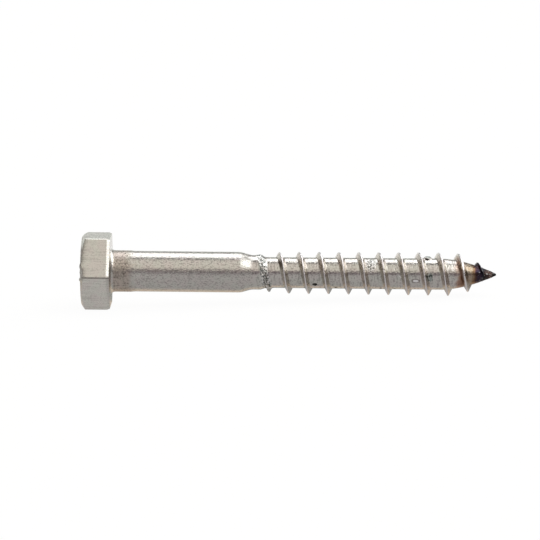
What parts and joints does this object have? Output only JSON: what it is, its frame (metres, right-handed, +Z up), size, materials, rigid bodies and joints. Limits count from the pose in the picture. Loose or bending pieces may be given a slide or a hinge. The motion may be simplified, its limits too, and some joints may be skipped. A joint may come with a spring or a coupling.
{
  "type": "lag screw",
  "caption": "Hexagon head lag screw with a plain shank, a coarse right-hand wood thread and a sharp point, lying on its side.",
  "frame": {"origin": "centre of the bearing face under the head, on the screw's axis", "axes": "+X along the length towards the point, +Z up; the screw lies on one flat of its head and its last full crest, so its axis leans 2.4 degrees down towards the point and the floor is 6.49 mm below the origin"},
  "size_m": [0.0754, 0.015, 0.0132],
  "materials": {
    "stainless_steel": "plain stainless steel as forged and rolled, slightly grainy, with fine drag lines along the head's flats and a brown to black heat tint on the point"
  },
  "bodies": {
    "root": {"lag_screw": "stainless_steel"}
  },
  "joints": []
}
